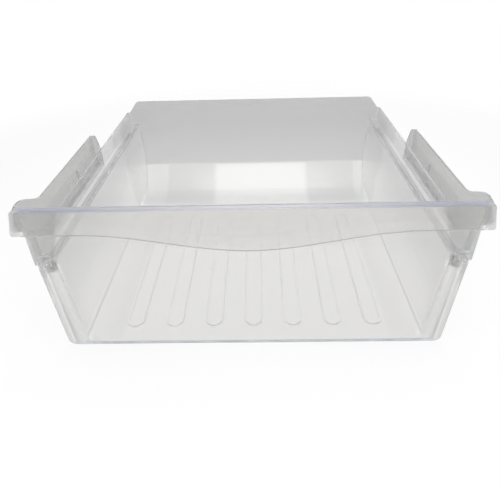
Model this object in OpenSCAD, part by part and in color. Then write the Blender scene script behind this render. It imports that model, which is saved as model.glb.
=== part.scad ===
// Clear moulded freezer drawer: one piece of polystyrene, open at the top.
// Front faces -Y, the floor rests on Z = 0, and the drawer is centred on X and Y.

/* [Moulding] */
// Thickness of every wall
wall_t = 2.5; // [2:0.1:4]
// Radius inside the corner between the floor and the side walls
floor_fillet_r = 6; // [2:0.5:10]

/* [Bin] */
// Inner width of the bin at its floor
floor_w = 404; // [360:1:420]
// Inner length of the bin from the front panel to the rear wall at rim height
bin_len = 427; // [380:1:480]
// Inner radius of the sweep between the floor and the rear wall
sweep_r = 78; // [40:1:100]
// Outward lean of the rear wall in degrees
rear_draft = 1.0; // [0.5:0.1:2]

/* [Runner step] */
// Height of the upper face of the runner ledge
ledge_z = 119.5; // [100:0.5:130]
// How far each side wall leans out between the floor and the ledge
side_lean = 7; // [3:0.5:9]
// Width of the ledge
ledge_w = 13.5; // [10:0.5:18]
// How far the upper side wall leans out between the ledge and the rim
rim_lean = 1; // [0.5:0.5:2]
// Height of the side rim above the ledge
rim_h = 21; // [16:0.5:30]
// Distance from the side wall to the runner rib under the ledge
runner_rib_x = 6; // [4:0.5:7]
// Depth of the runner rib below the ledge
runner_rib_h = 7; // [4:0.5:12]
// Distance from the front panel to the closed front end of the runner, and radius of the scoop above it
runner_start = 12; // [8:0.5:16]

/* [Rear wall] */
// Height of the raised middle of the rear wall above the side rim
rear_h = 18.5; // [13:0.5:30]
// Distance from the bin's outer side to the raised middle's foot
rear_foot_in = 5; // [3:0.5:10]
// How far each end of the raised middle leans in between its foot and its top
rear_lean_in = 14; // [4:0.5:24]
// Outer radius, seen from above, of the rim's rear corners
rim_corner_r = 9; // [5:0.5:14]
// Radius of the raised middle's upper corners
rear_corner_r = 10; // [2:0.5:12]

/* [Front panel] */
// Overall height of the front
front_h = 186; // [178:1:196]
// How far the front panel stands out on each side of the bin's inner floor
panel_foot_out = 16.5; // [10:0.5:19]
// How far each side edge of the panel leans out between its bottom and its top
panel_side_lean = 8.5; // [5:0.5:12]
// Radius of the front panel's bottom corners
panel_corner_r = 9; // [4:0.5:20]
// Radius, seen from above, of the curve that carries each side wall out to the panel's edge
flare_r = 20; // [18:0.5:22]
// Rearward depth of the side gusset behind the panel
gusset_depth = 12; // [8:0.5:20]
// How far the side gusset reaches down below the ledge
gusset_h = 57.5; // [30:0.5:80]

/* [Grip lip] */
// Depth of the lip's flat top in front of the panel
lip_top_depth = 6.5; // [5:0.5:12]
// Depth of the lip in front of the panel at its lowest point
lip_depth = 14; // [12:0.5:24]
// Inner radius of the bends along the lip's top
lip_bend_r = 0.5; // [0.3:0.1:1.5]
// Radius of the lip's upper corners, seen from the front
lip_corner_r = 11; // [6:0.5:14]
// Radius of the lip's lower corners
lip_foot_r = 2.5; // [1:0.5:6]
// Radius of the lip's front corners, seen from above
lip_front_r = 8; // [5:0.5:12]
// How far each end of the lip's top stands in from the wing's outer face
lip_top_in = 2.5; // [1:0.5:4]
// How far each end of the lip leans out between its top and its foot
lip_end_lean = 5; // [3:0.5:7]
// How far the lip reaches down at its ends
lip_end_h = 26; // [20:0.5:30]
// How much further the lip reaches down in the middle
lip_bow_h = 18.5; // [8:0.5:26]
// Width of the bowed middle of the lip's lower edge
lip_bow_w = 336; // [200:2:400]

/* [Wings] */
// Distance from the front panel to the rear end of the wings
wing_len = 252.5; // [200:0.5:300]
// Height of the long straight top of the wings above the ledge
wing_h = 44.5; // [36:0.5:52]
// Clear width of the trough between the side rim and the wing
trough_w = 6; // [5:0.5:10]
// Where the wing's top starts to rise towards the lip
wing_rise_y = 70; // [50:1:90]
// Where the wing's top is highest behind the lip
wing_crest_y = 18; // [8:1:25]
// How far the wing's crest stands below the lip's top
wing_crest_drop = 4.5; // [2:0.5:8]
// How far the wing's front end stands below the lip's top
wing_front_drop = 8; // [5:0.5:10]
// Radius of the trough between the wing and the rim
trough_fillet_r = 3; // [1:0.5:3.5]
// Where the wing's lower edge reaches the ledge
wing_foot_y = 60; // [30:1:80]
// Radius of the wing's upper rear corner
wing_corner_r = 4; // [1:0.5:10]
// Number of cross ribs in each trough
cross_ribs = 1; // [0:1:4]
// Thickness of a cross rib
cross_rib_t = 1.6; // [1.2:0.1:2.4]
// Height of a cross rib at the rim, above the floor of the trough
cross_rib_h = 16; // [8:1:20]
// How much higher a cross rib is at the wing
cross_rib_rise = 12; // [0:1:20]

/* [Floor bars] */
// Number of embossed bars in the floor
bar_count = 7; // [3:1:8]
// Distance between the middles of two bars
bar_pitch = 49; // [44:0.5:50]
// Width of a bar
bar_w = 22; // [14:0.5:26]
// Height of a bar above the floor
bar_h = 1.6; // [0.8:0.1:2.2]
// Radius along a bar's upper edge
bar_edge_r = 1.2; // [0.6:0.1:1.4]
// Distance from the front panel to the bars
bar_front_gap = 24; // [15:1:40]
// Length of flat floor left between the bars and the sweep
bar_back_gap = 54; // [20:1:100]

/* [Stop nub] */
// Size of the small stop nub on the left ledge
nub_size = 3; // [2:0.5:4]
// Distance from the front panel to the stop nub
nub_y = 250; // [150:1:300]

/* [Hidden] */

arc_steps = 6;
sweep_steps = 24;
ease_steps = 10;
big = 1000;

floor_half = floor_w / 2;
ledge_in = floor_half + side_lean;
ledge_out = ledge_in + ledge_w;
rim_half = ledge_out + rim_lean;
trough_in = rim_half + wall_t;
wing_in = trough_in + trough_w;
wing_out = wing_in + wall_t;
lip_top_half = wing_out - lip_top_in;

rim_z = ledge_z + rim_h;
rear_z = rim_z + rear_h;
wing_z = ledge_z + wing_h;
lip_end_z = front_h - lip_end_h;
lip_mid_z = lip_end_z - lip_bow_h;
gusset_foot_z = ledge_z - gusset_h;
lip_flare = atan2(lip_depth - lip_top_depth, front_h - lip_mid_z);
lip_lean = atan2(lip_end_lean, lip_end_h);

rear_shift = tan(rear_draft);
bin_back = wall_t + bin_len;
sweep_z = wall_t + sweep_r;
sweep_start = bin_back - (rim_z - sweep_z) * rear_shift - sweep_r;
wing_end = wall_t + wing_len;
depth_back = bin_back + wall_t + rear_h * rear_shift;
mid_y = (depth_back - lip_depth) / 2;

panel_foot = floor_half + panel_foot_out;
panel_top = panel_foot + panel_side_lean;
panel_lean = atan2(panel_side_lean, front_h);
rear_foot = trough_in - rear_foot_in;
rear_top = rear_foot - rear_lean_in;
bar_len = sweep_start - bar_back_gap - bar_front_gap - wall_t;
flare_x = floor_half + wall_t / 2 + flare_r;
flare_y = wall_t / 2 + flare_r;
flare_back = flare_y - sqrt(pow(flare_r + wall_t, 2) - pow(flare_r + wall_t / 2, 2));

// Points of an arc about a centre, between two angles
function arc(centre, r, from, to, steps = arc_steps) =
    [for (i = [0:steps]) centre + r * [cos(from + (to - from) * i / steps), sin(from + (to - from) * i / steps)]];

// Smooth step from 0 to 1
function ease(t) = t * t * (3 - 2 * t);

// Mirrored copy of a half outline, closed through the left side
function both_sides(half) = concat(half, [for (i = [len(half) - 1:-1:0]) [-half[i][0], half[i][1]]]);

// Places the points of a front view outline: its height runs up Z and it is extruded along +Y
module along_y(from, to) {
    translate([0, to, 0])
        rotate([90, 0, 0])
            linear_extrude(to - from)
                children();
}

// Places a side view outline (Y, Z) and extrudes it along +X
module along_x(from, to) {
    translate([from, 0, 0])
        rotate([90, 0, 90])
            linear_extrude(to - from)
                children();
}

// Makes the same thing on the left and on the right
module mirrored_pair() {
    children();
    mirror([1, 0, 0])
        children();
}

// Front view of the bin: grow is 0 for the inner faces and wall_t for the outer ones
module bin_section(grow, top) {
    low = wall_t - grow;
    r = floor_fillet_r + grow;
    lean = atan2(side_lean, ledge_z - wall_t);
    rise = top - ledge_z;
    polygon(both_sides(concat(
        arc([floor_half + grow - r, low + r], r, -90, -lean),
        [
            [ledge_in + grow, ledge_z - grow],
            [ledge_out + grow, ledge_z - grow],
            [ledge_out + grow + rim_lean * rise / rim_h, top]
        ]
    )));
}

// Side view of the bin: the floor, the sweep and the leaning rear wall
module bin_side(grow, top) {
    low = wall_t - grow;
    r = sweep_r + grow;
    polygon(concat(
        [[wall_t - grow, top], [wall_t - grow, low]],
        arc([sweep_start, sweep_z], r, -90, 0, sweep_steps),
        [[sweep_start + r + (top - sweep_z) * rear_shift, top]]
    ));
}

// Seen from above, the bin's outline with its round rear corners
module bin_plan(grow) {
    x_end = rim_half + grow + rim_lean * rear_h / rim_h;
    y_end = bin_back + grow + rear_h * rear_shift;
    r = rim_corner_r - wall_t + grow;
    polygon(both_sides(concat(
        [[x_end, -1]],
        arc([x_end - r, y_end - r], r, 0, 90)
    )));
}

// Front view of the rear wall's raised middle
module raised_middle_outline() {
    r = rear_corner_r;
    lean = atan2(rear_lean_in, rear_h);
    polygon(both_sides(concat(
        [[rim_half, ledge_z], [rim_half, rim_z], [rear_foot, rim_z]],
        arc([rear_top - r * tan(45 - lean / 2), rear_z - r], r, lean, 90)
    )));
}

// Front end of the side wall on the right, curved out to the panel's edge and leaning with it:
// grow is 0 for the inner faces and wall_t for the outer ones
module flare(grow, top) {
    r = flare_r + wall_t - grow;
    left = floor_half - floor_fillet_r;
    intersection() {
        translate([flare_x, 0, 0])
            rotate([0, panel_lean, 0])
                translate([-flare_x, 0, -ledge_z])
                    linear_extrude(3 * ledge_z)
                        difference() {
                            translate([left, wall_t / 2])
                                square([flare_x - left, flare_r]);
                            translate([flare_x, flare_y])
                                circle(r, $fn = 96);
                        }
        along_x(left, flare_x)
            polygon(concat(
                [[0, top], [0, wall_t - grow]],
                arc([flare_back - floor_fillet_r, wall_t + floor_fillet_r], floor_fillet_r + grow, -90, 0),
                [[flare_back + grow, top]]
            ));
        along_y(0, big)
            panel_outline(0, ledge_z);
    }
}

// The bin: floor, side walls with their step and their flared front ends, swept rear wall
module bin_shell() {
    difference() {
        union() {
            intersection() {
                union() {
                    along_y(0, big)
                        bin_section(wall_t, rim_z);
                    along_y(sweep_start, big)
                        raised_middle_outline();
                }
                along_x(-big, big)
                    bin_side(wall_t, rear_z);
                linear_extrude(big)
                    bin_plan(wall_t);
            }
            mirrored_pair()
                flare(wall_t, ledge_z - wall_t / 2);
        }
        intersection() {
            along_y(0, big)
                bin_section(0, rear_z + 1);
            along_x(-big, big)
                bin_side(0, rear_z + 1);
            linear_extrude(big)
                bin_plan(0);
        }
        mirrored_pair()
            flare(0, ledge_z - 2 * wall_t);
    }
}

// Round-ended bar, drawn flat
module bar_outline(w, length) {
    r = w / 2;
    polygon(concat(
        arc([0, r], r, 180, 360, 2 * arc_steps),
        arc([0, length - r], r, 0, 180, 2 * arc_steps)
    ));
}

// Right half of a bar's cross section, rounded along its upper edge
module bar_half_section() {
    top = wall_t + bar_h;
    polygon(concat(
        [[0, wall_t / 2], [bar_w / 2, wall_t / 2]],
        arc([bar_w / 2 - bar_edge_r, top - bar_edge_r], bar_edge_r, 0, 90, arc_steps / 2),
        [[0, top]]
    ));
}

// One bar: round ends and a straight middle
module bar() {
    for (y = [bar_w / 2, bar_len - bar_w / 2])
        translate([0, y, 0])
            rotate_extrude($fn = 48)
                bar_half_section();
    mirrored_pair()
        along_y(bar_w / 2, bar_len - bar_w / 2)
            bar_half_section();
}

// Repeats its child for each floor bar, at the bar's front end
module each_bar() {
    for (i = [0:bar_count - 1])
        translate([(i - (bar_count - 1) / 2) * bar_pitch, wall_t + bar_front_gap, 0])
            children();
}

// The floor bars are hollow below
module bar_hollow() {
    translate([0, wall_t, -1])
        linear_extrude(bar_h + 1)
            bar_outline(bar_w - 2 * wall_t, bar_len - 2 * wall_t);
}

// Front panel outline: leaning side edges and round bottom corners
module panel_outline(low, top) {
    r = panel_corner_r;
    polygon(both_sides(concat(
        arc([panel_foot - r, low + r], r, -90, -panel_lean),
        [[panel_foot + (top - low) * tan(panel_lean), top]]
    )));
}

// Height of the lip's lower edge: straight at the ends and bowed down in the middle
function lip_edge_z(x) = lip_mid_z + (lip_end_z - lip_mid_z) * ease(min(1, abs(x) / (lip_bow_w / 2)));

// Front view of the lip: inset is how far the outline is drawn in
module lip_outline(inset, open_below) {
    top = front_h - inset;
    x_top = lip_top_half - inset / cos(lip_lean) + inset * tan(lip_lean);
    r_top = lip_corner_r - inset;
    r_foot = lip_foot_r;
    x_foot = x_top + lip_end_h * tan(lip_lean) - r_foot * tan(45 + lip_lean / 2);
    steps = 2 * ease_steps;
    polygon(both_sides(concat(
        open_below
            ? [[0, 0], [x_top + top * tan(lip_lean), 0]]
            : concat(
                [for (i = [0:steps]) let (x = lip_bow_w / 2 * i / steps) [x, lip_edge_z(x)]],
                arc([x_foot, lip_end_z + r_foot], r_foot, -90, lip_lean)
            ),
        arc([x_top - r_top * tan(45 - lip_lean / 2), top - r_top], r_top, lip_lean, 90)
    )));
}

// Side view of the lip: a flat top with two bends and a front face that flares out downwards
module lip_side(inset) {
    top = front_h - inset;
    r = lip_bend_r + wall_t - inset;
    front = lip_top_depth - inset / cos(lip_flare) + inset * tan(lip_flare);
    back = wall_t - inset;
    polygon(concat(
        [[back, 0]],
        arc([back - r, top - r], r, 0, 90),
        arc([r * tan(45 - lip_flare / 2) - front, top - r], r, 90, 180 - lip_flare),
        [[-front - top * tan(lip_flare), 0]]
    ));
}

// What lies outside the lip's round front corner on the right, along the lean of its front and end
module outside_lip_corner(r) {
    round = arc([-lip_front_r, lip_front_r], r, 0, -90);
    last = len(round) - 1;
    clear = 3 * lip_front_r;
    translate([lip_top_half, -lip_top_depth, front_h])
        rotate([-lip_flare, 0, 0])
            rotate([0, -atan(tan(lip_lean) * cos(lip_flare)), 0])
                translate([0, 0, -front_h / 2])
                    linear_extrude(front_h)
                        polygon(concat(
                            [2 * round[0] - round[1]],
                            [for (i = [1:last - 1]) round[i]],
                            [2 * round[last] - round[last - 1], [-lip_front_r, -clear], [clear, -clear], [clear, 0]]
                        ));
}

// The grip lip: an upside-down channel in front of the panel, closed at both ends
module grip_lip() {
    difference() {
        intersection() {
            along_y(-big, wall_t)
                lip_outline(0, false);
            along_x(-big, big)
                lip_side(0);
        }
        mirrored_pair()
            outside_lip_corner(lip_front_r);
        difference() {
            intersection() {
                along_y(-big, 0)
                    lip_outline(wall_t, true);
                along_x(-big, big)
                    lip_side(wall_t);
            }
            mirrored_pair()
                outside_lip_corner(lip_front_r - wall_t);
        }
    }
}

// Height of the wing's top edge at a distance from the front
function wing_top_z(y) =
    let (crest = front_h - wing_crest_drop, start = front_h - wing_front_drop)
    y <= wing_crest_y
        ? start + (crest - start) * ease(y / wing_crest_y)
        : crest + (wing_z - crest) * ease((y - wing_crest_y) / (wing_rise_y - wing_crest_y));

// Side view of a wing
module wing_side() {
    low = ledge_z - wall_t;
    r = wing_corner_r;
    polygon(concat(
        [[0, lip_end_z], [wing_foot_y, low], [wing_end, low]],
        arc([wing_end - r, wing_z - r], r, 0, 90),
        [for (i = [2 * ease_steps:-1:0]) let (y = wing_rise_y * i / (2 * ease_steps)) [y, wing_top_z(y)]]
    ));
}

// Side view of the trough's clear space: its floor follows the wing's lower edge
module trough_side() {
    slope = (lip_end_z - ledge_z + wall_t) / wing_foot_y;
    polygon([
        [wall_t, lip_end_z + wall_t - wall_t * slope],
        [wing_foot_y, ledge_z],
        [wing_end - wall_t, ledge_z],
        [wing_end - wall_t, big],
        [wall_t, big]
    ]);
}

// Front view of the trough's clear space, rounded along the foot of the wing
module trough_section() {
    r = trough_fillet_r;
    polygon(concat(
        [[ledge_out, big], [ledge_out, ledge_z]],
        arc([wing_in - r, ledge_z + r], r, -90, 0),
        [[wing_in, big]]
    ));
}

// Front view of the end cap: above the rim its inner edge leans away from the bin
module end_cap_front() {
    low = ledge_z - wall_t;
    polygon([
        [ledge_out + wall_t / 2, low],
        [wing_out, low],
        [wing_out, big],
        [trough_in + wall_t, big],
        [trough_in + wall_t, wing_z],
        [rim_half, rim_z]
    ]);
}

// Side view of the cheek that rises from the rim to the wing's sloping front floor
module cheek_side() {
    polygon([
        [0, ledge_z - wall_t],
        [wing_foot_y, ledge_z - wall_t],
        [0, lip_end_z]
    ]);
}

// Cross ribs that stiffen the trough
module trough_ribs() {
    inner = ledge_out + wall_t / 2;
    outer = wing_out - wall_t / 2;
    for (i = [1:1:cross_ribs]) {
        y = wall_t + wing_len * (i + 1) / (cross_ribs + 2);
        along_y(y - cross_rib_t / 2, y + cross_rib_t / 2)
            polygon([
                [inner, ledge_z - wall_t / 2],
                [outer, ledge_z - wall_t / 2],
                [outer, ledge_z + cross_rib_h + cross_rib_rise],
                [inner, ledge_z + cross_rib_h]
            ]);
    }
}

// One wing with its trough, cross ribs and end cap, on the right
module wing() {
    difference() {
        union() {
            intersection() {
                along_x(ledge_out, wing_out)
                    wing_side();
                along_y(0, wing_end)
                    end_cap_front();
            }
            along_x(rim_half, trough_in + wall_t)
                intersection() {
                    wing_side();
                    square([wing_foot_y, big]);
                }
            along_x(rim_half, rim_half + wall_t)
                cheek_side();
        }
        intersection() {
            along_x(ledge_out, wing_in)
                trough_side();
            along_y(0, wing_end)
                trough_section();
        }
    }
    trough_ribs();
}

// Side gusset between the panel's edge and the front of the ledge, on the right
module side_gusset() {
    intersection() {
        along_x(ledge_in, wing_out)
            polygon([
                [wall_t / 2, gusset_foot_z],
                [wall_t + gusset_depth, ledge_z - wall_t],
                [wall_t + gusset_depth, ledge_z],
                [wall_t / 2, ledge_z]
            ]);
        along_y(0, big)
            polygon([
                [panel_foot - wall_t, 0],
                [panel_foot, 0],
                [panel_top, front_h],
                [panel_top - wall_t, front_h]
            ]);
    }
}

// Side view of the scoop that closes the front end of the ledge
module scoop_side(r) {
    centre = [wall_t + runner_start, ledge_z + runner_start];
    polygon(concat(
        arc(centre, r, 180, 270),
        [[wall_t + runner_start, ledge_z - wall_t], [0, ledge_z - wall_t], [0, ledge_z + runner_start]]
    ));
}

// The scoop is a bent sheet, open below, from the ledge up to the panel, on the right
module ledge_scoop() {
    difference() {
        along_x(ledge_in, rim_half + wall_t / 2)
            scoop_side(runner_start);
        translate([0, 0, -0.01])
            along_x(ledge_in + wall_t, ledge_out)
                intersection() {
                    scoop_side(runner_start + wall_t);
                    translate([wall_t, 0])
                        square([runner_start - wall_t, big]);
                }
    }
}

// Runner under one ledge: the rib that slides on the cabinet's rail and its closed front end
module runner() {
    rib_x = ledge_in + runner_rib_x;
    low = ledge_z - wall_t - runner_rib_h;
    high = ledge_z - wall_t / 2;
    front = wall_t + runner_start - wall_t / 2;
    translate([rib_x, front, low])
        cube([wall_t, sweep_start + sweep_r / 2 - front, high - low]);
    translate([ledge_in + wall_t / 2, front, low])
        cube([ledge_w, wall_t, high - low]);
}

// What is cut from the ledge so that the scoop takes its place, on the right
module scoop_gap() {
    translate([ledge_in + wall_t, wall_t, ledge_z - 2 * wall_t])
        cube([ledge_out - ledge_in - wall_t, runner_start - wall_t, 2 * wall_t + 0.01]);
}

// Small stop nub on the inner edge of the left ledge
module stop_nub() {
    translate([-ledge_in - nub_size / 2, nub_y, ledge_z - wall_t / 2])
        cylinder(h = wall_t / 2 + nub_size / 2, d = nub_size, $fn = 24);
}

// The whole moulding
module drawer() {
    color([0.86, 0.87, 0.88, 0.45])
        translate([0, -mid_y, 0])
            difference() {
                union() {
                    difference() {
                        bin_shell();
                        mirrored_pair()
                            scoop_gap();
                    }
                    along_y(0, wall_t)
                        panel_outline(0, front_h - lip_corner_r);
                    grip_lip();
                    mirrored_pair() {
                        wing();
                        side_gusset();
                        ledge_scoop();
                        runner();
                    }
                    each_bar()
                        bar();
                    stop_nub();
                }
                each_bar()
                    bar_hollow();
            }
}

drawer();
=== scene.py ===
"""Clear freezer drawer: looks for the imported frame."""
import math

import bpy
from mathutils import Matrix, Vector


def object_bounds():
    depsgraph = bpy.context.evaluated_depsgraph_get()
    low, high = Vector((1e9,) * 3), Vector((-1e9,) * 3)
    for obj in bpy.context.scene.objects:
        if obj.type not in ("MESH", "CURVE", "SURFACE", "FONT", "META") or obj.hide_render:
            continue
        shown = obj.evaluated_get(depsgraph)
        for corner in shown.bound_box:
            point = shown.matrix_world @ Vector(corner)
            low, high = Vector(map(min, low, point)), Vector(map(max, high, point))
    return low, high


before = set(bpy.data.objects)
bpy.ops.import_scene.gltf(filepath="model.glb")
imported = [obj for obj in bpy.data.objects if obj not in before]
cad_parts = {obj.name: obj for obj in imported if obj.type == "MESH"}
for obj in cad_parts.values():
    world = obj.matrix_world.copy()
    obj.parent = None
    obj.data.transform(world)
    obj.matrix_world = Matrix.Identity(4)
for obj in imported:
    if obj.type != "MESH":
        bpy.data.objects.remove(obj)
cad_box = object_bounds()
scene = bpy.context.scene

# Camera, at the photograph's viewing angle
PITCH, YAW, ROLL = 0.606541, -0.0278915, -0.0298640
cam_at = Vector((0.009754, -0.375205 - 0.2091615, 0.393778))
fwd = Vector((math.sin(YAW) * math.cos(PITCH), math.cos(YAW) * math.cos(PITCH), -math.sin(PITCH)))
right = Vector((math.cos(YAW), -math.sin(YAW), 0))
up = right.cross(fwd)
right_r = right * math.cos(ROLL) + up * math.sin(ROLL)
up_r = up * math.cos(ROLL) - right * math.sin(ROLL)
cam_data = bpy.data.cameras.new("camera")
cam_data.lens = 32.4
cam_data.sensor_width = 36
cam = bpy.data.objects.new("camera", cam_data)
scene.collection.objects.link(cam)
m = Matrix((right_r, up_r, -fwd)).transposed().to_4x4()
m.translation = cam_at
cam.matrix_world = m
scene.camera = cam


# Small node helpers
def new_material(name):
    mat = bpy.data.materials.new(name)
    mat.use_nodes = True
    nt = mat.node_tree
    nt.nodes.clear()
    return mat, nt, nt.nodes.new("ShaderNodeOutputMaterial")


def node(nt, kind, inputs=None, **props):
    n = nt.nodes.new(kind)
    for k, v in props.items():
        setattr(n, k, v)
    for k, v in (inputs or {}).items():
        if isinstance(v, bpy.types.NodeSocket):
            nt.links.new(v, n.inputs[k])
        else:
            n.inputs[k].default_value = v
    return n


def ramp(nt, value, low, high, start, end, smooth=True):
    """start at low, end at high, and a smooth step between."""
    n = node(nt, "ShaderNodeMapRange", {"Value": value, "From Min": low, "From Max": high, "To Min": start,
                                        "To Max": end})
    n.interpolation_type = "SMOOTHSTEP" if smooth else "LINEAR"
    return n.outputs["Result"]


def maths(nt, operation, a, b):
    return node(nt, "ShaderNodeMath", {0: a, 1: b}, operation=operation).outputs[0]


def mix_colour(nt, factor, low, high):
    return node(nt, "ShaderNodeMix", {0: factor, 6: low, 7: high}, data_type="RGBA").outputs[2]


# Tints of the plastic, once for each surface that light crosses; besides the clear tint, most below are painted shade,
# a few painted light or painted highlight at given places
CLEAR = (0.892, 0.888, 0.878, 1)
# painted shade: the grey that stands for a darker background seen through the upper parts
BACKDROP_SHADE = (0.57, 0.57, 0.57, 1)
# painted shade: thin dark lines at the edges
TURN_SHADE = (0.70, 0.70, 0.73, 1)
# the plastic's bluish tint deepened as painted shade along the lip's top and the panel's foot
LIP_TOP_MIDDLE_SHADE = (0.74, 0.74, 0.81, 1)
LIP_TOP_END_SHADE = (0.54, 0.56, 0.70, 1)
PANEL_FOOT_SHADE = (0.76, 0.79, 0.84, 1)
# painted shade: dark lines on the lip and its dark underside
LIP_UNDER_SHADE = (0.35, 0.35, 0.36, 1)
# painted shade: darker wings and troughs
WING_SHADE = (0.55, 0.55, 0.545, 1)
TROUGH_SHADE = (0.86, 0.86, 0.86, 1)
# painted light: the flares kept untinted so they read lighter
FLARE_LIGHT = (1.0, 1.0, 0.99, 1)
# painted shade: the panel's side flanges darker
PANEL_SIDE_SHADE = (0.74, 0.74, 0.73, 1)
# painted shade: near-black lines in the rear corners
CORNER_SHADE = (0.03, 0.03, 0.03, 1)
# painted shade: a darker gusset
GUSSET_SHADE = (0.70, 0.70, 0.695, 1)
# painted highlight: white glints
GLINT_WHITE = (1.0, 1.0, 1.0, 1)
# painted shade: greyer lip ends
LIP_END_SHADE = (0.78, 0.78, 0.78, 1)
# painted shade: a dark nook under the ledge
NOOK_SHADE = (0.25, 0.25, 0.25, 1)
# painted shade: the panel's side ends darker
PANEL_END_SHADE = (0.74, 0.74, 0.75, 1)
# painted shade: a dark line along the floor's bend
BEND_SHADE = (0.50, 0.50, 0.51, 1)
ABSORB = (0.20, 0.34, 0.58, 1)
ABSORB_DENSITY = 1.3

# Places on the drawer, in metres, from its packed box
FRONT_FACE_Y = cad_box[0][1] + 0.014
PANEL_BACK_Y = FRONT_FACE_Y + 0.0025
LIP_TOP_Z = cad_box[1][2]
EDGE_R = 0.0008
MIDDLE_X = 0.012
BAR_END_Y = FRONT_FACE_Y + 0.0265
CAP_Y = FRONT_FACE_Y + 0.255


def band(nt, value, low, high, soft):
    """1 between low and high, falling to 0 over a soft border."""
    rise = ramp(nt, value, low - soft, low, 0.0, 1.0)
    fall = ramp(nt, value, high, high + soft, 1.0, 0.0)
    return maths(nt, "MULTIPLY", rise, fall)


# Clear polystyrene
def clear_plastic():
    mat, nt, out = new_material("clear_polystyrene")
    place = node(nt, "ShaderNodeTexCoord").outputs["Object"]
    flow = node(nt, "ShaderNodeTexNoise", {"Vector": place, "Scale": 9.0, "Detail": 3.0, "Roughness": 0.5})
    rough = ramp(nt, flow.outputs["Fac"], 0.35, 0.65, 0.03, 0.08, smooth=False)
    waves = node(nt, "ShaderNodeBump", {"Height": flow.outputs["Fac"], "Strength": 0.06, "Distance": 0.004})
    sep = node(nt, "ShaderNodeSeparateXYZ", {"Vector": place})
    x = maths(nt, "ABSOLUTE", sep.outputs["X"], 0.0)
    y, z = sep.outputs["Y"], sep.outputs["Z"]
    face = node(nt, "ShaderNodeNewGeometry")
    facing = node(nt, "ShaderNodeSeparateXYZ", {"Vector": face.outputs["True Normal"]})
    facing_x = maths(nt, "ABSOLUTE", facing.outputs["X"], 0.0)
    facing_z = maths(nt, "ABSOLUTE", facing.outputs["Z"], 0.0)
    in_front = ramp(nt, y, PANEL_BACK_Y + 0.0002, PANEL_BACK_Y + 0.0012, 1.0, 0.0)

    # painted shade: greyer with height behind the panel, most of all in the rear wall and the wings, with the rear
    # wall's middle left lighter as a painted reflection
    behind = ramp(nt, y, PANEL_BACK_Y, PANEL_BACK_Y + 0.003, 0.0, 1.0, smooth=False)
    sides = maths(nt, "ADD", ramp(nt, z, 0.003, 0.012, 0.0, 0.16), ramp(nt, z, 0.02, 0.112, 0.0, 0.55))
    rim = maths(nt, "MULTIPLY", ramp(nt, z, 0.110, 0.118, 0.0, 1.0), ramp(nt, y, 0.13, 0.17, 0.20, -0.20))
    rim = maths(nt, "MULTIPLY", rim, ramp(nt, y, -0.16, -0.12, 0.0, 1.0))
    sides = maths(nt, "SUBTRACT", sides, rim)
    from_middle = maths(nt, "ABSOLUTE", maths(nt, "SUBTRACT", sep.outputs["X"], MIDDLE_X), 0.0)
    off_middle = maths(nt, "SUBTRACT", ramp(nt, from_middle, 0.078, 0.092, 0.0, 0.36),
                       ramp(nt, from_middle, 0.170, 0.178, 0.0, 0.18))
    low = maths(nt, "ADD", off_middle, 0.20)
    high = maths(nt, "ADD", ramp(nt, z, 0.0405, 0.0455, 0.0, 0.83), ramp(nt, z, 0.06, 0.125, 0.0, 0.16))
    rear = maths(nt, "MULTIPLY", ramp(nt, y, 0.100, 0.150, 0.0, 1.0), maths(nt, "MAXIMUM", low, high))
    troughs = ramp(nt, x, 0.2245, 0.2265, 0.0, 1.0)
    wings = ramp(nt, x, 0.2305, 0.2318, 0.0, 1.0)
    rear = maths(nt, "MULTIPLY", rear, ramp(nt, facing_x, 0.45, 0.80, 1.0, 0.0))
    painted_grey = maths(nt, "MAXIMUM", sides, rear)
    painted_grey = maths(nt, "MULTIPLY", behind, painted_grey)
    tint = mix_colour(nt, painted_grey, CLEAR, BACKDROP_SHADE)
    # painted shade: the troughs, the wings and the troughs' end caps darker
    tint = mix_colour(nt, maths(nt, "MULTIPLY", behind, troughs), tint, TROUGH_SHADE)
    tint = mix_colour(nt, maths(nt, "MULTIPLY", behind, wings), tint, WING_SHADE)
    cap_shade = maths(nt, "MAXIMUM", band(nt, y, CAP_Y - 0.0032, CAP_Y + 0.0005, 0.0005),
                ramp(nt, y, PANEL_BACK_Y + 0.010, PANEL_BACK_Y + 0.020, 1.0, 0.0))
    cap_shade = maths(nt, "MULTIPLY", maths(nt, "MULTIPLY", cap_shade, behind), troughs)
    tint = mix_colour(nt, cap_shade, tint, WING_SHADE)
    # painted light: the flares beside the panel kept untinted, lighter than the plastic around them
    crease = maths(nt, "ADD", maths(nt, "MULTIPLY", z, 0.0975), 0.192)
    beyond = maths(nt, "SUBTRACT", x, crease)
    flare = maths(nt, "MULTIPLY", ramp(nt, y, PANEL_BACK_Y + 0.010, PANEL_BACK_Y + 0.020, 1.0, 0.0),
                  ramp(nt, beyond, -0.002, 0.006, 0.0, 1.0))
    flare = maths(nt, "MULTIPLY", flare, ramp(nt, z, 0.105, 0.112, 1.0, 0.0))
    tint = mix_colour(nt, maths(nt, "MULTIPLY", behind, flare), tint, FLARE_LIGHT)
    # painted shade: the nook under the ledge behind the panel darkened
    nook_shade = maths(nt, "MULTIPLY", band(nt, z, 0.106, 0.118, 0.002), band(nt, x, 0.205, 0.220, 0.002))
    nook_shade = maths(nt, "MULTIPLY", nook_shade, ramp(nt, y, PANEL_BACK_Y + 0.006, PANEL_BACK_Y + 0.010, 1.0, 0.0))
    tint = mix_colour(nt, maths(nt, "MULTIPLY", behind, nook_shade), tint, NOOK_SHADE)

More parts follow.
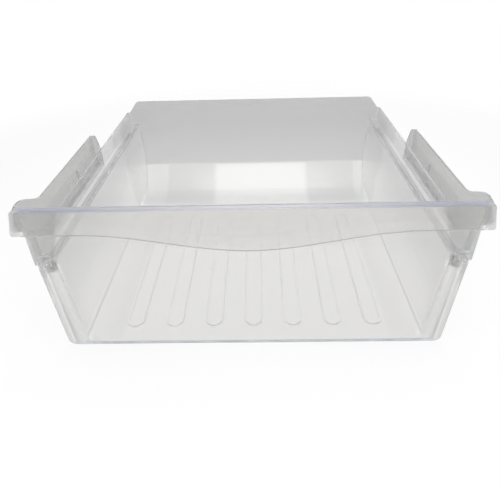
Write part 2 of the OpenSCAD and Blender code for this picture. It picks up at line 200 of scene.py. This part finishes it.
    # painted shade: thin dark lines where the surface turns
    bevel = node(nt, "ShaderNodeBevel", {"Radius": EDGE_R}, samples=4)
    turn = node(nt, "ShaderNodeVectorMath", {0: bevel.outputs["Normal"], 1: face.outputs["Normal"]},
                operation="DOT_PRODUCT").outputs["Value"]
    turn_shade_mask = maths(nt, "MULTIPLY", ramp(nt, turn, 0.97, 0.84, 0.0, 1.0), ramp(nt, z, 0.003, 0.012, 0.15, 1.0))
    at_flare = maths(nt, "MULTIPLY", ramp(nt, y, PANEL_BACK_Y + 0.022, PANEL_BACK_Y + 0.024, 1.0, 0.0),
                     ramp(nt, z, 0.118, 0.120, 1.0, 0.0))
    turn_shade_mask = maths(nt, "MULTIPLY", turn_shade_mask, maths(nt, "SUBTRACT", 1.0, at_flare))
    tint = mix_colour(nt, turn_shade_mask, tint, TURN_SHADE)
    # painted shade: the edge lines in the rear corners between side and rear walls made near-black
    rear_corner_shade = maths(nt, "MULTIPLY", ramp(nt, y, 0.105, 0.130, 0.0, 1.0), ramp(nt, x, 0.190, 0.194, 0.0, 1.0))
    rear_corner_shade = maths(nt, "MULTIPLY", rear_corner_shade, ramp(nt, z, 0.104, 0.108, 1.0, 0.0))
    tint = mix_colour(nt, maths(nt, "MULTIPLY", turn_shade_mask, rear_corner_shade), tint, CORNER_SHADE)
    # painted shade: the edge lines on the lip darkened further
    lip_zone = maths(nt, "MULTIPLY", in_front, band(nt, z, 0.130, 0.168, 0.002))
    tint = mix_colour(nt, maths(nt, "MULTIPLY", turn_shade_mask, lip_zone), tint, LIP_UNDER_SHADE)

    # painted shade along the bend between the floor and the side walls
    bend_shade = maths(nt, "MULTIPLY", band(nt, x, 0.1988, 0.2000, 0.0010), band(nt, z, 0.0032, 0.0120, 0.0004))
    bend_shade = maths(nt, "MULTIPLY", bend_shade, maths(nt, "MULTIPLY", behind, ramp(nt, y, 0.09, 0.13, 1.0, 0.3)))
    tint = mix_colour(nt, bend_shade, tint, BEND_SHADE)

    # the plastic's bluish tint deepened as painted shade in strips along the lip's top and the panel's foot, and
    # painted shade on the lip's underside
    along = ramp(nt, x, 0.06, 0.20, 0.0, 1.0)
    lip_top_shade = mix_colour(nt, along, LIP_TOP_MIDDLE_SHADE, LIP_TOP_END_SHADE)
    lip_top = maths(nt, "MULTIPLY", in_front, ramp(nt, z, LIP_TOP_Z - 0.0028, LIP_TOP_Z - 0.0018, 0.0, 1.0))
    tint = mix_colour(nt, lip_top, tint, lip_top_shade)
    foot = maths(nt, "MULTIPLY", in_front, ramp(nt, z, 0.0035, 0.0050, 1.0, 0.0))
    tint = mix_colour(nt, foot, tint, PANEL_FOOT_SHADE)
    under = maths(nt, "MULTIPLY", lip_zone, ramp(nt, facing_z, 0.70, 0.85, 0.0, 1.0))
    tint = mix_colour(nt, under, tint, LIP_UNDER_SHADE)
    # painted shade: the panel's side end faces darkened
    ends = maths(nt, "MULTIPLY", in_front, ramp(nt, facing_x, 0.75, 0.90, 0.0, 1.0))
    tint = mix_colour(nt, ends, tint, PANEL_END_SHADE)
    # painted shade: the gusset wedge beside the panel darkened
    slant = maths(nt, "ADD", beyond, maths(nt, "MULTIPLY", maths(nt, "SUBTRACT", z, 0.127), 0.47))
    gusset = maths(nt, "MULTIPLY", ramp(nt, slant, -0.002, 0.002, 0.0, 1.0), ramp(nt, z, 0.160, 0.163, 1.0, 0.5))
    gusset = maths(nt, "MULTIPLY", gusset, maths(nt, "MULTIPLY", in_front, band(nt, z, 0.119, LIP_TOP_Z - 0.004, 0.003)))
    tint = mix_colour(nt, gusset, tint, GUSSET_SHADE)
    # painted shade: the lip's ends darkened
    end_zone = maths(nt, "MULTIPLY", in_front, ramp(nt, x, 0.221, 0.227, 0.0, 1.0))
    tint = mix_colour(nt, end_zone, tint, LIP_END_SHADE)
    # painted shade: the panel beyond the crease darkened
    tint = mix_colour(nt, maths(nt, "MULTIPLY", in_front, maths(nt, "MULTIPLY", ramp(nt, beyond, 0.011, 0.016, 0.0, 1.0),
                                             ramp(nt, z, 0.112, 0.118, 1.0, 0.0))), tint, PANEL_SIDE_SHADE)

    # a duller finish where the mould was parted
    dull = maths(nt, "MAXIMUM", maths(nt, "MAXIMUM", lip_top, foot), maths(nt, "MAXIMUM", under, ends))
    rough = maths(nt, "ADD", rough, maths(nt, "MULTIPLY", dull, 0.25))
    rough = maths(nt, "ADD", rough, maths(nt, "MULTIPLY", under, 0.5))
    soft_zone = maths(nt, "MULTIPLY", ramp(nt, y, PANEL_BACK_Y + 0.016, PANEL_BACK_Y + 0.026, 1.0, 0.0),
                      ramp(nt, beyond, -0.020, -0.002, 0.0, 1.0))
    soft_zone = maths(nt, "MULTIPLY", soft_zone, ramp(nt, y, PANEL_BACK_Y - 0.0015, PANEL_BACK_Y - 0.0005, 0.0, 1.0))
    soft_zone = maths(nt, "MULTIPLY", soft_zone, ramp(nt, z, 0.106, 0.112, 1.0, 0.0))
    rough = maths(nt, "ADD", rough, maths(nt, "MULTIPLY", soft_zone, 0.16))
    rough = maths(nt, "ADD", rough, maths(nt, "MULTIPLY", end_zone, 0.35))
    past_edge = maths(nt, "SUBTRACT", x, maths(nt, "ADD", maths(nt, "MULTIPLY", z, 0.0457), 0.2185))
    gusset_edge = maths(nt, "MULTIPLY", ramp(nt, past_edge, -0.0028, -0.0020, 0.0, 1.0), band(nt, z, 0.114, 0.160, 0.003))
    gusset_edge = maths(nt, "MULTIPLY", gusset_edge, ramp(nt, y, PANEL_BACK_Y + 0.012, PANEL_BACK_Y + 0.014, 1.0, 0.0))
    gusset_edge = maths(nt, "MULTIPLY", gusset_edge, ramp(nt, past_edge, 0.0004, 0.0010, 1.0, 0.0))
    rough = maths(nt, "ADD", rough, maths(nt, "MULTIPLY", gusset_edge, 0.4))
    # painted highlight: a white line along the gusset's edge
    tint = mix_colour(nt, gusset_edge, tint, GLINT_WHITE)
    panel_side = maths(nt, "MULTIPLY", in_front, maths(nt, "MULTIPLY", ramp(nt, beyond, -0.004, 0.010, 0.0, 1.0),
                                                       ramp(nt, z, 0.112, 0.118, 1.0, 0.0)))
    rough = maths(nt, "ADD", rough, maths(nt, "MULTIPLY", panel_side, 0.25))
    rough = maths(nt, "ADD", rough, ramp(nt, y, 0.09, 0.11, 0.0, 0.12))
    bar_sides = maths(nt, "MULTIPLY", ramp(nt, facing_z, 0.995, 0.95, 0.0, 1.0), ramp(nt, z, 0.005, 0.006, 1.0, 0.0))
    bar_sides = maths(nt, "MULTIPLY", bar_sides, maths(nt, "MULTIPLY", behind, ramp(nt, x, 0.170, 0.175, 1.0, 0.0)))
    bar_sides = maths(nt, "MULTIPLY", bar_sides, ramp(nt, y, 0.088, 0.092, 1.0, 0.0))
    rough = maths(nt, "ADD", rough, maths(nt, "MULTIPLY", bar_sides, 0.3))
    # painted highlight: white glints at the bars' front ends
    bar_end_glint = maths(nt, "MULTIPLY", bar_sides, ramp(nt, y, BAR_END_Y + 0.004, BAR_END_Y + 0.008, 1.0, 0.0))
    tint = mix_colour(nt, bar_end_glint, tint, GLINT_WHITE)

    bsdf = node(nt, "ShaderNodeBsdfPrincipled", {
        "Base Color": tint, "Roughness": rough, "IOR": 1.59, "Transmission Weight": 0.94,
        "Normal": waves.outputs["Normal"]})
    # lamp light and light scattered by the floor pass straight through the thin walls
    lp = node(nt, "ShaderNodeLightPath")
    soft = maths(nt, "MAXIMUM", lp.outputs["Is Shadow Ray"], lp.outputs["Is Diffuse Ray"])
    thin = node(nt, "ShaderNodeBsdfTransparent", {"Color": (0.96, 0.96, 0.96, 1)})
    mix = node(nt, "ShaderNodeMixShader", {0: soft, 1: bsdf.outputs["BSDF"], 2: thin.outputs[0]})
    nt.links.new(mix.outputs[0], out.inputs["Surface"])
    vol = node(nt, "ShaderNodeVolumeAbsorption", {"Color": ABSORB, "Density": ABSORB_DENSITY})
    nt.links.new(vol.outputs["Volume"], out.inputs["Volume"])
    return mat


plastic = clear_plastic()
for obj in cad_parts.values():
    for s in obj.material_slots:
        s.material = plastic

# Floor: it keeps the drawer's shadow and fades into the white around it
mesh = bpy.data.meshes.new("floor")
e = 3.0
mesh.from_pydata([(-e, -e, -0.0006), (e, -e, -0.0006), (e, e, -0.0006), (-e, e, -0.0006)], [], [(0, 1, 2, 3)])
floor = bpy.data.objects.new("floor", mesh)
scene.collection.objects.link(floor)
mat, nt, out = new_material("floor")
co = node(nt, "ShaderNodeTexCoord")
reach = node(nt, "ShaderNodeVectorMath", {0: co.outputs["Object"]}, operation="LENGTH").outputs["Value"]
fade = ramp(nt, reach, 0.62, 1.0, 0.0, 1.0)
dif = node(nt, "ShaderNodeBsdfDiffuse", {"Color": (0.96, 0.96, 0.96, 1)})
tr = node(nt, "ShaderNodeBsdfTransparent")
mix = node(nt, "ShaderNodeMixShader", {0: fade, 1: dif.outputs[0], 2: tr.outputs[0]})
nt.links.new(mix.outputs[0], out.inputs["Surface"])
mesh.materials.append(mat)

# World: plain soft light, and a white background for whatever sees it directly, mirrored or through the plastic
WORLD_LIGHT = 0.81
world = bpy.data.worlds.new("world")
scene.world = world
world.use_nodes = True
nt = world.node_tree
nt.nodes.clear()
out = nt.nodes.new("ShaderNodeOutputWorld")
lp = node(nt, "ShaderNodeLightPath")
light = node(nt, "ShaderNodeBackground", {"Color": (1, 1, 1, 1), "Strength": WORLD_LIGHT})
white = node(nt, "ShaderNodeBackground", {"Color": (1, 1, 1, 1), "Strength": 1.0})
seen = maths(nt, "MAXIMUM", lp.outputs["Is Glossy Ray"], lp.outputs["Is Transmission Ray"])
seen = maths(nt, "MAXIMUM", seen, lp.outputs["Is Camera Ray"])
mix = node(nt, "ShaderNodeMixShader", {0: seen, 1: light.outputs[0], 2: white.outputs[0]})
nt.links.new(mix.outputs[0], out.inputs["Surface"])


# Lamps
def area(name, at, to, size, power):
    d = bpy.data.lights.new(name, "AREA")
    d.shape = "RECTANGLE"
    d.size, d.size_y = size
    d.energy = power
    o = bpy.data.objects.new(name, d)
    scene.collection.objects.link(o)
    o.location = at
    o.rotation_euler = (Vector(to) - Vector(at)).to_track_quat("-Z", "Y").to_euler()
    return o


area("overhead", (0.035, -0.35, 1.5), (0.035, -0.349, 0), (0.68, 3.1), 9.4)

# Render settings
scene.view_settings.view_transform = "Standard"
scene.cycles.max_bounces = 160
scene.cycles.transmission_bounces = 160
scene.cycles.glossy_bounces = 160
scene.cycles.transparent_max_bounces = 16
